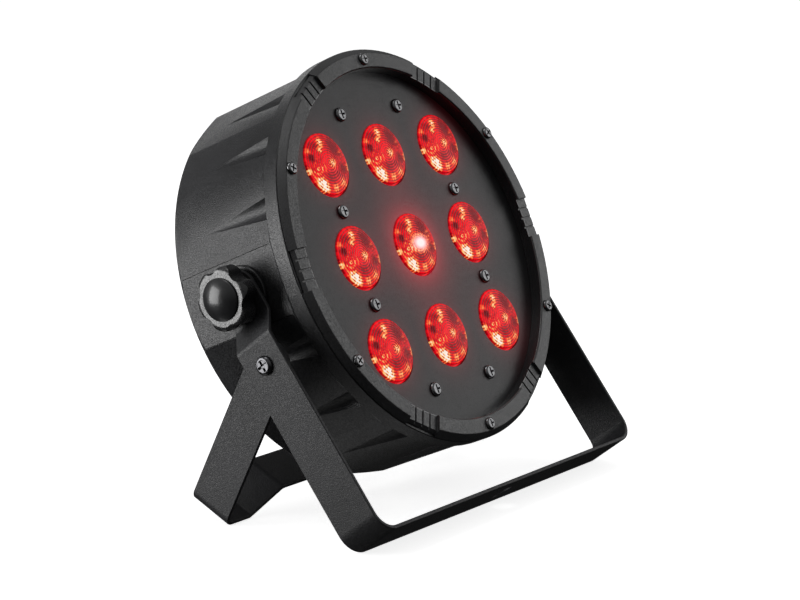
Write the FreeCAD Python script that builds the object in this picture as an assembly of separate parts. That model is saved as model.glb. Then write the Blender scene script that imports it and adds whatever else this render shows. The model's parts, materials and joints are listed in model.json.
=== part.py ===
"""Slim LED par can light on a folding double bracket.

Row frame: X runs along the tilt axis, -Y is the way the light shines, Z is up, millimetres.
The origin is on the floor, at the middle of the whole object's box. The head is modelled in its
own frame, with Z along the beam and Y up the face, and is then tipped back about the tilt axis.
"""
import FreeCAD, Part
import math
import os

from FreeCAD import Rotation, Vector

# ---- stance of the whole light
HEAD_TILT = 24.26           # beam above the horizontal, degrees
FRONT_LEAN = 38.0           # front bracket forward of the vertical, degrees
REAR_LEAN = 25.7            # rear bracket behind the vertical, degrees
CENTRE_SHIFT = 7.8          # tilt axis behind the middle of the box

# ---- drum: z is measured along the beam from the tilt axis
COLLAR_R = 103.4
COLLAR_BACK = 27.0
DRUM_FRONT = 35.0
DRUM_BACK = -38.5
REAR_ROUND = 13.0           # radius of the rounded rear edge
REAR_ROUND_START = -29.5
REAR_R = 103.2
FACETS = 18
FACET_APOTHEM = 100.5
FLARE_R = 2.9               # hollow curve between a facet and the collar
BORE_R = 94.2
FRONT_BORE_R = 94.6
LEDGE_R = 90.0
LEDGE_FRONT = 29.2
LEDGE_THICK = 2.0
REAR_BORE_R = 91.2
REAR_LEDGE_R = 84.0
REAR_LEDGE_BACK = -35.6
REAR_LEDGE_THICK = 2.6
SCOOP_TIP = -17.5
SCOOP_MOUTH = 24.4
SCOOP_HALF_WIDTH = 5.8
SCOOP_DEPTH = 3.0
SEAM_WIDTH = 0.6

# ---- front ring and face
RING_FRONT = 38.9
RING_FACE_R = 100.3
RING_EDGE_BACK = 35.5
RING_IN_R = 92.5
RING_SKIRT_R = 94.4
RING_SKIRT_BACK = 31.8
RING_SCREW_R = 97.0
RING_SCREWS = 6
NOTCHES = 6
NOTCH_LENGTH = 20.8
NOTCH_DEPTH = 1.7
NOTCH_FLAT_R = 101.7        # flat on the side band, at the band's rear edge
NOTCH_GROOVES = 3
NOTCH_GROOVE = 1.0
FACE_R = 94.2
FACE_FRONT = 31.7
FACE_THICK = 2.0
LENS_PITCH = 48.15
LENS_R = 16.0
LENS_HOLE_R = 16.3
LENS_CROWN = 34.4
LENS_EDGE = 32.4
FACE_SCREW_R = 2.0

# ---- inside the head
BOARD_FRONT = 11.6
BOARD_THICK = 1.6
BOARD_R = 80.0
SINK_R = 87.5
SINK_THICK = 5.0
SINK_FINS = 13
FIN_PITCH = 10.0
FIN_THICK = 2.0
FIN_REACH = 13.0
FIN_R = 73.0
LUG_ANGLES = (30.0, 150.0, 210.0, 330.0)
LUG_SCREW_R = 84.0
COVER_R = 91.0
COVER_BACK = -37.5
COVER_FRONT = -35.6
COVER_SCREWS = 6
COVER_SCREW_R = 87.6
REAR_BOARD_BACK = -33.0     # rear face of both boards behind the cover
REAR_BOARD_THICK = 1.6

# ---- control panel and sockets, x and y on the rear cover
DISPLAY_Y = 46.0
DISPLAY_SIZE = (34.0, 16.0)
BUTTON_Y = 26.0
BUTTON_X = (-24.0, -8.0, 8.0, 24.0)
BUTTON_NAMES = ("menu", "down", "up", "enter")
BUTTON_R = 3.8
BUTTON_HOLE_R = 4.1
BUTTON_TRAVEL = 0.5
XLR_X = 38.0
XLR_Y = -4.0
XLR_BODY_R = 11.8
LATCH_RISE = 11.6           # latch tab above the middle of the outlet
POWER_X = 26.0
POWER_Y = -48.0
POWER_FLANGE = (31.0, 29.0)
POWER_BODY = (27.0, 25.0)
POWER_CAVITY_WIDTH = 24.0
DRAWER_DROP = 8.1           # fuse drawer below the middle of the inlet
SAFETY_Y = 72.0
SAFETY_HALF = 8.0           # half the distance between the loop's legs

# ---- brackets
STRIP = 2.0                 # thickness of the flat bar
FRONT_WIDTH = 25.0
FRONT_OUTER_X = 114.0
FRONT_TOP_X = 106.0         # outer face of the arm at the knob
FRONT_REACH = 135.35        # tilt axis to the outer face of the bottom bar
FRONT_BEND = 11.0
JOGGLE = (14.0, 25.0)
REAR_WIDTH = 24.0
REAR_OUTER_X = 111.5
REAR_BEND = 6.0
FOOT_INNER_X = 91.5
SHOULDER_X = 72.5
SHOULDER_RAISE = 13.0
DIP_X = (46.0, 36.0)
DIP_RAISE = 6.5
BRACKET_SCREW_AT = 37.4     # tilt axis to the bracket screw, along the front arm
CLAMP_HOLE_R = 5.5
RIM_CHAMFER = 0.35          # along the rims of both flat bars

# ---- pivots and knobs: x outwards from the middle plane
PAD_X = FACET_APOTHEM
DISC_R = 14.1
DISC_X = 102.6
SPACER_R = 10.5
SPACER_X = 103.75
STUD_R = 4.0
RUNNING_CLEARANCE = 0.05
STUD_INNER_X = 89.0
INSERT_R = 6.5
INSERT_INNER_X = 90.0
BOSS_R = 11.0
BOSS_INNER_X = 88.5
KNOB_HUB_X = 106.3
KNOB_HUB_R = 9.5
KNOB_BACK_X = 109.0
KNOB_FRONT_X = 118.5
KNOB_R = 16.0
KNOB_LOBES = 6
KNOB_LOBE_R = 4.6
KNOB_VALLEY_R = 12.6
KNOB_TURN = 3.0             # a lobe's angle from the beam
CAP_R = 10.5
CAP_APEX_X = 123.0
BRACKET_SCREW_R = 2.5
BRACKET_SCREW_HEAD_R = 4.8

# ---- heights that follow: both brackets stand on one edge of their flat bar
FRONT_LEAN_RAD = math.radians(FRONT_LEAN)
REAR_LEAN_RAD = math.radians(REAR_LEAN)
PIVOT_HEIGHT = (FRONT_REACH * math.cos(FRONT_LEAN_RAD)
                + (FRONT_WIDTH / 2 - RIM_CHAMFER) * math.sin(FRONT_LEAN_RAD))
BRACKET_SCREW_HEIGHT = PIVOT_HEIGHT - BRACKET_SCREW_AT * math.cos(FRONT_LEAN_RAD)
REAR_REACH = ((BRACKET_SCREW_HEIGHT - (REAR_WIDTH / 2 - RIM_CHAMFER) * math.sin(REAR_LEAN_RAD))
              / math.cos(REAR_LEAN_RAD))    # bracket screw to the outer face of the feet

ORIGIN = Vector(0, 0, 0)
X_AXIS = Vector(1, 0, 0)
Y_AXIS = Vector(0, 1, 0)
Z_AXIS = Vector(0, 0, 1)
PIVOT = Vector(0, CENTRE_SHIFT, PIVOT_HEIGHT)
FULL_TURN = 360.0


# ---- shapes
def disc(radius, z0, z1, x=0.0, y=0.0):
    """A round bar along Z."""
    return Part.makeCylinder(radius, z1 - z0, Vector(x, y, z0))


def tube(outer, inner, z0, z1, x=0.0, y=0.0):
    """A round tube along Z."""
    return disc(outer, z0, z1, x, y).cut(disc(inner, z0 - 1, z1 + 1, x, y))


def block(x_span, y_span, z_span):
    """A box between two values on each axis."""
    size = [high - low for low, high in (x_span, y_span, z_span)]
    return Part.makeBox(*size, Vector(x_span[0], y_span[0], z_span[0]))


def centred_block(x, y, width, height, z_span):
    """A box of a given width and height about a point."""
    return block((x - width / 2, x + width / 2), (y - height / 2, y + height / 2), z_span)


def closed_wire(steps, to_point):
    """A closed outline: a step is (a, b) for a line, or (a_mid, b_mid, a, b) for an arc."""
    edges = []
    here = to_point(*steps[0])
    for step in steps[1:] + steps[:1]:
        there = to_point(*step[-2:])
        if len(step) == 4:
            edges.append(Part.Arc(here, to_point(*step[:2]), there).toShape())
        else:
            edges.append(Part.LineSegment(here, there).toShape())
        here = there
    return Part.Wire(edges)


def dome_step(edge_r, edge_z, apex_z):
    """Arc step from a rim up to an apex on the axis, on a sphere centred on the axis."""
    height = apex_z - edge_z
    radius = (edge_r ** 2 + height ** 2) / (2 * height)
    half = 0.5 * math.asin(edge_r / radius)
    return (radius * math.sin(half), apex_z - radius * (1 - math.cos(half)), 0, apex_z)


def turned(steps):
    """A solid of revolution about Z from an outline of (radius, z)."""
    face = Part.Face(closed_wire(steps, lambda r, z: Vector(r, 0, z)))
    return face.revolve(ORIGIN, Z_AXIS, FULL_TURN)


def turn_z(shape, angle):
    """A copy turned about Z."""
    copy = shape.copy()
    copy.rotate(ORIGIN, Z_AXIS, angle)
    return copy


def ring_of(shape, angles):
    """Copies of one shape about Z, as a list."""
    return [turn_z(shape, angle) for angle in angles]


def moved(shape, x=0.0, y=0.0, z=0.0):
    """A shifted copy."""
    copy = shape.copy()
    copy.translate(Vector(x, y, z))
    return copy


def outwards(shape, side):
    """Turns a shape built along +Z to point out along +X (side 1) or -X (side -1)."""
    copy = shape.copy()
    copy.rotate(ORIGIN, Y_AXIS, 90.0 * side)
    return copy


def pan_screw(head_r, head_h, shank_r, reach, slot=True):
    """A pan-head screw along Z, with its head standing on z = 0 and a cross recess."""
    shoulder = 0.35 * head_h
    head = turned([(0, 0), (head_r, 0), (head_r, shoulder),
                   (0.88 * head_r, 0.82 * head_h, 0.55 * head_r, head_h), (0, head_h)])
    screw = head.fuse(disc(shank_r, -reach, 0.1))
    if slot:
        arm = 0.62 * head_r
        half = 0.14 * head_r
        floor = 0.35 * head_h
        cross = block((-arm, arm), (-half, half), (floor, head_h + 1))
        screw = screw.cut(cross.fuse(turn_z(cross, 90)))
    return screw.removeSplitter()


# ---- head castings and covers
def facet_cutter():
    """What one flat facet takes off the turned drum, for the facet that faces +X."""
    flare_z = COLLAR_BACK - FLARE_R
    lean = FLARE_R * (1 - math.sqrt(0.5))
    outline = [(FACET_APOTHEM, DRUM_BACK - 5), (FACET_APOTHEM, flare_z),
               (FACET_APOTHEM + lean, flare_z + FLARE_R - lean,
                FACET_APOTHEM + FLARE_R, COLLAR_BACK),
               (COLLAR_R + 5, COLLAR_BACK), (COLLAR_R + 5, DRUM_BACK - 5)]
    face = Part.Face(closed_wire(outline, lambda x, z: Vector(x, 0, z)))
    half = COLLAR_R * math.tan(math.pi / FACETS) + 0.6
    face.translate(Vector(0, -half, 0))
    return face.extrude(Vector(0, 2 * half, 0))


def scoop_cutter():
    """A tapered round-bottomed groove along a facet, widest where it meets the collar."""
    length = SCOOP_MOUTH - SCOOP_TIP
    radius = (SCOOP_HALF_WIDTH ** 2 + SCOOP_DEPTH ** 2) / (2 * SCOOP_DEPTH)
    rise = radius - SCOOP_DEPTH
    axis = Vector(rise, 0, length)
    tip = Vector(FACET_APOTHEM, 0, SCOOP_TIP)
    cone = Part.makeCone(0, radius, axis.Length, tip, axis)
    return cone.common(block((90, 120), (-20, 20), (SCOOP_TIP - 1, SCOOP_MOUTH)))


def drum_housing():
    """The drum: faceted outside, stepped bores at both ends, pivot bosses and sink lugs."""
    round_in = REAR_R - REAR_ROUND
    drop = REAR_ROUND_START - DRUM_BACK
    back_r = round_in + math.sqrt(REAR_ROUND ** 2 - drop ** 2)
    mid_angle = -0.5 * math.asin(drop / REAR_ROUND)
    mid = (round_in + REAR_ROUND * math.cos(mid_angle),
           REAR_ROUND_START + REAR_ROUND * math.sin(mid_angle))
    rear_ledge_front = REAR_LEDGE_BACK + REAR_LEDGE_THICK
    shell = turned([
        (FRONT_BORE_R, DRUM_FRONT), (COLLAR_R - 0.4, DRUM_FRONT), (COLLAR_R, DRUM_FRONT - 0.4),
        (COLLAR_R, COLLAR_BACK), (REAR_R, REAR_ROUND_START), (*mid, back_r, DRUM_BACK),
        (REAR_BORE_R, DRUM_BACK), (REAR_BORE_R, REAR_LEDGE_BACK),
        (REAR_LEDGE_R, REAR_LEDGE_BACK), (REAR_LEDGE_R, rear_ledge_front),
        (BORE_R, rear_ledge_front), (BORE_R, LEDGE_FRONT - LEDGE_THICK),
        (LEDGE_R, LEDGE_FRONT - LEDGE_THICK), (LEDGE_R, LEDGE_FRONT),
        (FRONT_BORE_R, LEDGE_FRONT)])
    step = FULL_TURN / FACETS
    angles = [i * step for i in range(FACETS)]
    shell = shell.cut(ring_of(facet_cutter(), angles))
    scooped = [a for a in angles if a % 180 != 0]
    shell = shell.cut(ring_of(scoop_cutter(), scooped))
    corner = FACET_APOTHEM / math.cos(math.pi / FACETS)
    seam = block((corner - SEAM_WIDTH, corner + 5), (-SEAM_WIDTH / 2, SEAM_WIDTH / 2),
                 (DRUM_BACK - 1, COLLAR_BACK - FLARE_R))
    half = step / 2
    shell = shell.cut(ring_of(seam, (half, -half, 180 - half, 180 + half)))
    bosses = []
    holes = []
    for side in (1, -1):
        bosses.append(outwards(disc(BOSS_R, BOSS_INNER_X, BORE_R + 2), side))
        holes.append(outwards(disc(INSERT_R, INSERT_INNER_X - 2, PAD_X + 5), side))
    lug = block((80.5, BORE_R + 1), (-6, 6), (-4, BOARD_FRONT - BOARD_THICK - SINK_THICK))
    shell = shell.fuse(bosses + ring_of(lug, LUG_ANGLES)).cut(holes)
    sink_hole = disc(1.95, -3, 6, LUG_SCREW_R)
    ring_hole = disc(1.45, 24, DRUM_FRONT + 1, RING_SCREW_R)
    cover_hole = disc(1.25, -34.6, -30, COVER_SCREW_R)
    cover_hole = cover_hole.fuse(disc(1.25, REAR_LEDGE_BACK - 1, -34, COVER_SCREW_R))
    shell = shell.cut(ring_of(sink_hole, LUG_ANGLES) + ring_of(ring_hole, ring_screw_angles())
                      + ring_of(cover_hole, cover_screw_angles()))
    return shell.removeSplitter()


def ring_screw_angles():
    return [30 + i * FULL_TURN / RING_SCREWS for i in range(RING_SCREWS)]


def cover_screw_angles():
    return [15 + i * FULL_TURN / COVER_SCREWS for i in range(COVER_SCREWS)]


def notch_cutter():
    """Flat, floor and grooves of one grip notch in the ring, at +X."""
    half = NOTCH_LENGTH / 2
    floor = RING_FRONT - NOTCH_DEPTH
    slope = (COLLAR_R - RING_FACE_R) / (RING_FRONT - RING_EDGE_BACK)
    low = RING_EDGE_BACK - 1
    high = RING_FRONT + 1
    outline = [(NOTCH_FLAT_R + slope, low), (NOTCH_FLAT_R - slope * (high - RING_EDGE_BACK), high),
               (COLLAR_R + 5, high), (COLLAR_R + 5, low)]
    face = Part.Face(closed_wire(outline, lambda x, z: Vector(x, 0, z)))
    face.translate(Vector(0, -half, 0))
    cutter = face.extrude(Vector(0, 2 * half, 0))
    cutter = cutter.fuse(block((RING_IN_R - 2, COLLAR_R + 2), (-half, half), (floor, high)))
    spacing = NOTCH_LENGTH / (NOTCH_GROOVES + 1)
    for i in range(NOTCH_GROOVES):
        y = (i - (NOTCH_GROOVES - 1) / 2) * spacing
        cutter = cutter.fuse(block((RING_IN_R - 2, COLLAR_R + 2),
                                   (y - NOTCH_GROOVE / 2, y + NOTCH_GROOVE / 2),
                                   (floor - 0.9, high)))
    return cutter


def front_ring():
    """The bezel: a skirt that clamps the face plate and a flared lip over the collar."""
    ring = turned([
        (RING_IN_R, RING_SKIRT_BACK), (RING_SKIRT_R, RING_SKIRT_BACK),
        (RING_SKIRT_R, DRUM_FRONT), (COLLAR_R - 1.6, DRUM_FRONT),
        (COLLAR_R - 1.6, RING_EDGE_BACK), (COLLAR_R, RING_EDGE_BACK),
        (RING_FACE_R + 0.3, RING_FRONT - 0.33), (RING_FACE_R - 0.3, RING_FRONT),
        (RING_IN_R + 0.6, RING_FRONT), (RING_IN_R, RING_FRONT - 0.6)])
    angles = [i * FULL_TURN / NOTCHES for i in range(NOTCHES)]
    hole = disc(1.6, DRUM_FRONT - 1, RING_FRONT + 1, RING_SCREW_R)
    return ring.cut(ring_of(notch_cutter(), angles) + ring_of(hole, ring_screw_angles()))


def lens_places():
    """Name and centre of each lens, as seen from in front of the head."""
    places = []
    for row, y in (("top", LENS_PITCH), ("middle", 0.0), ("bottom", -LENS_PITCH)):
        for column, x in (("left", -LENS_PITCH), ("centre", 0.0), ("right", LENS_PITCH)):
            places.append((f"lens_{row}_{column}", x, y))
    return places


def face_screw_places():
    """Eight screws in the spaces between the lenses."""
    pitch = LENS_PITCH
    pairs = ((0.5, 1.5), (1.0, 0.5))
    return [(sx * a * pitch, sy * b * pitch) for a, b in pairs for sx in (1, -1) for sy in (1, -1)]


def face_plate():
    back = FACE_FRONT - FACE_THICK
    plate = disc(FACE_R, back, FACE_FRONT)
    cuts = [disc(LENS_HOLE_R, back - 1, FACE_FRONT + 1, x, y) for _, x, y in lens_places()]
    cuts += [disc(FACE_SCREW_R + 0.1, back - 1, FACE_FRONT + 1, x, y)
             for x, y in face_screw_places()]
    return plate.cut(cuts)


def lens():
    """Collimator lens: domed front, flange behind the plate, cone with a pocket for the LED."""
    back = FACE_FRONT - FACE_THICK
    return turned([
        (0, 21.0), (2.6, 20.2), (3.4, 16.4), (5.6, 16.4), (14.6, 27.4),
        (17.3, 27.4), (17.3, back - 0.1), (LENS_R, back - 0.1), (LENS_R, LENS_EDGE - 0.3),
        (LENS_R - 0.3, LENS_EDGE),
        dome_step(LENS_R - 0.3, LENS_EDGE, LENS_CROWN)])


def lens_holder():
    """Cup that stands on the LED board and carries one lens."""
    return turned([(15.4, BOARD_FRONT), (17.3, BOARD_FRONT), (17.3, 27.3), (15.4, 27.3),
                   (15.4, 26.0), (14.2, 24.0), (5.8, 14.2), (5.8, 13.2), (15.4, 13.2)])


def emitter():
    """Surface-mount LED: ceramic base and silicone dome."""
    base = centred_block(0, 0, 5.0, 5.0, (BOARD_FRONT, BOARD_FRONT + 1.0))
    dome = Part.makeSphere(2.2, Vector(0, 0, BOARD_FRONT + 1.0))
    return base.fuse(dome.common(centred_block(0, 0, 6, 6, (BOARD_FRONT + 0.5, 20))))


def led_board():
    board = disc(BOARD_R, BOARD_FRONT - BOARD_THICK, BOARD_FRONT)
    holes = [disc(FACE_SCREW_R, 0, 20, x, y) for x, y in face_screw_places()]
    return board.cut(holes)


def heat_sink():
    """Round aluminium base with straight fins behind it."""
    front = BOARD_FRONT - BOARD_THICK
    back = front - SINK_THICK
    base = disc(SINK_R, back, front)
    fins = []
    for i in range(SINK_FINS):
        x = (i - (SINK_FINS - 1) / 2) * FIN_PITCH
        fins.append(block((x - FIN_THICK / 2, x + FIN_THICK / 2), (-FIN_R, FIN_R),
                          (back - FIN_REACH, back + 0.5)))
    rim = disc(FIN_R, back - FIN_REACH - 1, back + 1)
    sink = base.fuse([fin.common(rim) for fin in fins])
    holes = [disc(2.1, back - 1, front + 1, LUG_SCREW_R)]
    return sink.cut(ring_of(holes[0], LUG_ANGLES)).removeSplitter()


def face_post():
    """Threaded pillar between the LED board and the face plate."""
    back = FACE_FRONT - FACE_THICK
    return tube(3.2, FACE_SCREW_R, BOARD_FRONT, back)


# ---- rear cover, boards and sockets
def power_corner(width, height, z_span, x):
    """Mains connector outline: a block with its two upper corners cut off."""
    body = centred_block(x, POWER_Y, width, height, z_span)
    cut = 3.6
    for side in (1, -1):
        corner = Part.makeBox(2 * cut, 2 * cut, z_span[1] - z_span[0] + 2)
        corner.translate(Vector(-cut, -cut, 0))
        corner.rotate(ORIGIN, Z_AXIS, 45)
        corner.translate(Vector(x + side * width / 2, POWER_Y + height / 2, z_span[0] - 1))
        body = body.cut(corner)
    return body


def rear_cover():
    """Round cover with the window, buttons and sockets let into it."""
    span = (COVER_BACK - 1, COVER_FRONT + 1)
    cover = turned([(0, COVER_BACK), (COVER_R - 0.4, COVER_BACK), (COVER_R, COVER_BACK + 0.4),
                    (COVER_R, COVER_FRONT), (0, COVER_FRONT)])
    cuts = [centred_block(0, DISPLAY_Y, *DISPLAY_SIZE, span)]
    cuts += [disc(BUTTON_HOLE_R, *span, x, BUTTON_Y) for x in BUTTON_X]
    cuts += [disc(XLR_BODY_R + 0.1, *span, side * XLR_X, XLR_Y) for side in (1, -1)]
    for side in (1, -1):
        cuts.append(centred_block(side * POWER_X, POWER_Y, POWER_BODY[0] + 0.2,
                                  POWER_BODY[1] + 0.2, span))
    cuts += ring_of(disc(1.6, *span, COVER_SCREW_R), cover_screw_angles())
    cuts += [disc(2.1, *span, 0, SAFETY_Y + side * SAFETY_HALF) for side in (1, -1)]
    cuts.append(centred_block(XLR_X, XLR_Y + LATCH_RISE, 7.0, 3.4, span))
    return cover.cut(cuts)


def display_window():
    width, height = DISPLAY_SIZE
    return centred_block(0, DISPLAY_Y, width - 0.2, height - 0.2, (COVER_BACK, COVER_FRONT))


def display_module():
    width, height = DISPLAY_SIZE
    return centred_block(0, DISPLAY_Y, width + 2, height + 2, (COVER_FRONT, REAR_BOARD_BACK))


def control_board():
    return centred_block(0, 40.0, 66.0, 44.0,
                         (REAR_BOARD_BACK, REAR_BOARD_BACK + REAR_BOARD_THICK)).cut(
        [disc(1.5, REAR_BOARD_BACK - 1, REAR_BOARD_BACK + 3, x, y)
         for x, y in control_post_places()])


def control_post_places():
    return [(sx * 30.5, y) for sx in (1, -1) for y in (20.5, 58.0)]


def power_post_places():
    return [(sx * 18.0, y) for sx in (1, -1) for y in (-26.0, 10.0)]


def power_board():
    holes = [disc(1.5, REAR_BOARD_BACK - 1, REAR_BOARD_BACK + 3, x, y)
             for x, y in power_post_places()]
    board = centred_block(0, -8.0, 44.0, 44.0,
                          (REAR_BOARD_BACK, REAR_BOARD_BACK + REAR_BOARD_THICK))
    return board.cut(holes)


def board_post():
    """Pillar moulded for a board screw, standing on the cover's inner face."""
    return tube(3.0, 1.3, COVER_FRONT, REAR_BOARD_BACK)


def button_cap():
    """Round key with a retaining collar inside the cover."""
    collar = disc(4.9, COVER_FRONT + 0.1, COVER_FRONT + 0.8)
    face = COVER_BACK - 1.1
    key = turned([(0, face), (BUTTON_R - 0.5, face), (BUTTON_R, face + 0.5),
                  (BUTTON_R, COVER_FRONT + 1.1), (0, COVER_FRONT + 1.1)])
    return key.fuse(collar)


def button_switch():
    """Low tactile switch under one key."""
    return centred_block(0, 0, 6.0, 6.0, (REAR_BOARD_BACK - 0.9, REAR_BOARD_BACK))


def power_inlet():
    """Appliance inlet: flange outside the cover, a deep recess, and a slot for the fuse drawer."""
    face = COVER_BACK - 2.2
    back = -14.0
    body = centred_block(-POWER_X, POWER_Y, *POWER_FLANGE, (face, COVER_BACK))
    body = body.fuse(centred_block(-POWER_X, POWER_Y, *POWER_BODY, (COVER_BACK - 0.5, back)))
    recess = power_corner(POWER_CAVITY_WIDTH, 14.2, (face - 1, face + 16.0), -POWER_X)
    recess.translate(Vector(0, 3.6, 0))
    drawer_slot = centred_block(-POWER_X, POWER_Y - DRAWER_DROP, 22.4, 6.0, (face - 1, -19.0))
    return body.cut([recess, drawer_slot])


def inlet_pins():
    """Line, neutral and earth blades, standing in the recess of the inlet."""
    base = COVER_BACK - 2.2 + 16.0
    pins = []
    for dx, dy in ((-7.0, 1.6), (0.0, 6.4), (7.0, 1.6)):
        pins.append(centred_block(-POWER_X + dx, POWER_Y + dy, 2.0, 4.0, (base - 10.0, base)))
    return pins


def fuse_drawer():
    """Small tray with a lip, which slides out of the inlet below the recess."""
    face = COVER_BACK - 2.2
    y = POWER_Y - DRAWER_DROP
    tray = centred_block(-POWER_X, y, 22.0, 5.6, (face, -20.0))
    lip = centred_block(-POWER_X, y, 22.0, 5.6, (face - 0.9, face))
    pocket = block((-POWER_X - 10.4, -POWER_X + 10.4), (y - 2.0, y + 5), (-36.0, -30.4))
    finger = block((-POWER_X - 4, -POWER_X + 4), (y - 1.0, y + 1.0), (face - 2, face - 0.4))
    return tray.fuse(lip).cut([pocket, finger])


def fuse():
    """Glass fuse lying across the drawer."""
    y = POWER_Y - DRAWER_DROP + 0.35
    body = Part.makeCylinder(2.3, 20.0, Vector(-POWER_X - 10.0, y, -33.2), X_AXIS)
    return body


def power_outlet():
    """Appliance outlet: flange, moulded block standing in a shallow recess, three slots."""
    face = COVER_BACK - 2.2
    body = centred_block(POWER_X, POWER_Y, *POWER_FLANGE, (face, COVER_BACK))
    body = body.fuse(centred_block(POWER_X, POWER_Y, *POWER_BODY, (COVER_BACK - 0.5, -14.0)))
    groove = power_corner(25.4, 18.0, (face - 1, face + 14.0), POWER_X)
    core = power_corner(22.4, 15.0, (face - 2, face + 15.0), POWER_X)
    slots = [centred_block(POWER_X + dx, POWER_Y + dy, 2.4, 5.0, (face - 1, face + 12.0))
             for dx, dy in ((-7.0, -2.0), (0.0, 2.0), (7.0, -2.0))]
    return body.cut([groove.cut(core)] + slots)


def xlr_flange(x):
    """Square flange with rounded corners, outside the cover."""
    plate = centred_block(x, XLR_Y, 26.0, 30.0, (COVER_BACK - 1.8, COVER_BACK))
    upright = [e for e in plate.Edges if e.Length < 1.9]
    plate = plate.makeFillet(3.0, upright)
    holes = [disc(1.6, COVER_BACK - 3, COVER_BACK + 1, x + s * 9.5, XLR_Y + s * 12.0)
             for s in (1, -1)]
    return plate.cut(holes)


def dmx_input():
    """Control signal inlet: a round recess for three pins."""
    x = -XLR_X
    body = xlr_flange(x).fuse(disc(XLR_BODY_R, COVER_BACK - 0.5, -16.0, x, XLR_Y))
    recess = disc(9.3, COVER_BACK - 3, -23.3, x, XLR_Y)
    return body.cut(recess)


def dmx_input_pins():
    pins = []
    for angle in (30.0, 150.0, 270.0):
        x = -XLR_X + 4.6 * math.cos(math.radians(angle))
        y = XLR_Y + 4.6 * math.sin(math.radians(angle))
        pins.append(disc(1.2, -32.0, -23.3, x, y))
    return pins


def dmx_output():
    """Control signal outlet: a round core with three holes, and a slot for the latch tab."""
    x = XLR_X
    body = xlr_flange(x).fuse(disc(XLR_BODY_R, COVER_BACK - 0.5, -16.0, x, XLR_Y))
    groove = tube(10.2, 8.2, COVER_BACK - 3, -24.0, x, XLR_Y)
    holes = []
    for angle in (90.0, 210.0, 330.0):
        hx = x + 4.6 * math.cos(math.radians(angle))
        hy = XLR_Y + 4.6 * math.sin(math.radians(angle))
        holes.append(disc(1.4, COVER_BACK - 3, -25.0, hx, hy))
    latch_slot = centred_block(x, XLR_Y + LATCH_RISE, 7.0, 3.4, (COVER_BACK - 3, -30.0))
    return body.cut([groove, latch_slot] + holes)


def output_latch():
    """Press tab that frees a plug from the outlet."""
    y = XLR_Y + LATCH_RISE
    tab = centred_block(XLR_X, y, 6.4, 2.8, (COVER_BACK - 3.4, -31.4))
    return tab


def safety_eye():
    """Bent rod loop for a safety cable, riveted through the cover at both ends."""
    rod = 1.9
    reach = COVER_BACK - 10.5
    bend = 3.6
    half = SAFETY_HALF
    legs = []
    elbows = []
    collars = []
    for side in (1, -1):
        y = SAFETY_Y + side * half
        legs.append(disc(rod, reach + bend, COVER_FRONT + 1.2, 0, y))
        collars.append(tube(3.6, rod - 0.05, COVER_BACK - 1.2, COVER_BACK, 0, y))
        centre = Vector(0, y - side * bend, reach + bend)
        elbow = Part.makeTorus(bend, rod, centre, X_AXIS)
        keep_y = sorted((centre.y, centre.y + side * (bend + rod + 1)))
        elbows.append(elbow.common(block((-5, 5), keep_y, (reach - 5, centre.z))))
    bridge = Part.makeCylinder(rod, 2 * (half - bend),
                               Vector(0, SAFETY_Y - half + bend, reach), Y_AXIS)
    return legs[0].fuse([legs[1], bridge] + elbows + collars).removeSplitter()


# ---- pivots and knobs, built outwards along Z from the middle plane
def knob_outline():
    """Lobed outline of the star grip: rounded lobes joined by hollow arcs."""
    lobe_c = KNOB_R - KNOB_LOBE_R
    half = math.pi / KNOB_LOBES
    cos_half = math.cos(half)
    top = (lobe_c ** 2 + KNOB_VALLEY_R ** 2 - 2 * lobe_c * KNOB_VALLEY_R * cos_half
           - KNOB_LOBE_R ** 2)
    hollow = top / (2 * KNOB_LOBE_R - 2 * KNOB_VALLEY_R + 2 * lobe_c * cos_half)
    hollow_c = KNOB_VALLEY_R + hollow
    share = KNOB_LOBE_R / (KNOB_LOBE_R + hollow)

    def polar(radius, angle):
        return Vector(radius * math.cos(angle), radius * math.sin(angle), 0)

    edges = []
    for i in range(KNOB_LOBES):
        tip = math.radians(KNOB_TURN) + 2 * half * i
        lobe = polar(lobe_c, tip)
        before = lobe + (polar(hollow_c, tip - half) - lobe) * share
        after = lobe + (polar(hollow_c, tip + half) - lobe) * share
        following = polar(lobe_c, tip + 2 * half)
        onward = following + (polar(hollow_c, tip + half) - following) * share
        edges.append(Part.Arc(before, polar(KNOB_R, tip), after).toShape())
        edges.append(Part.Arc(after, polar(KNOB_VALLEY_R, tip + half), onward).toShape())
    return Part.Wire(edges)


def knob_grip():
    """Star grip with softened rims, a hub towards the bracket and a seat for the cap."""
    face = Part.Face(knob_outline())
    face.translate(Vector(0, 0, KNOB_BACK_X))
    star = face.extrude(Vector(0, 0, KNOB_FRONT_X - KNOB_BACK_X))
    soft = turned([(0, KNOB_BACK_X), (KNOB_R - 1.6, KNOB_BACK_X), (KNOB_R, KNOB_BACK_X + 1.6),
                   (KNOB_R, KNOB_FRONT_X - 3.0),
                   (KNOB_R - 0.9, KNOB_FRONT_X - 0.9, KNOB_R - 3.2, KNOB_FRONT_X),
                   (0, KNOB_FRONT_X)])
    grip = star.common(soft).fuse(disc(KNOB_HUB_R, KNOB_HUB_X, KNOB_BACK_X + 1))
    socket = disc(CAP_R - 1.5, KNOB_FRONT_X - 2.0, KNOB_FRONT_X + 1)
    return grip.cut([socket, disc(STUD_R, KNOB_HUB_X - 1, KNOB_FRONT_X)]).removeSplitter()


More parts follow.
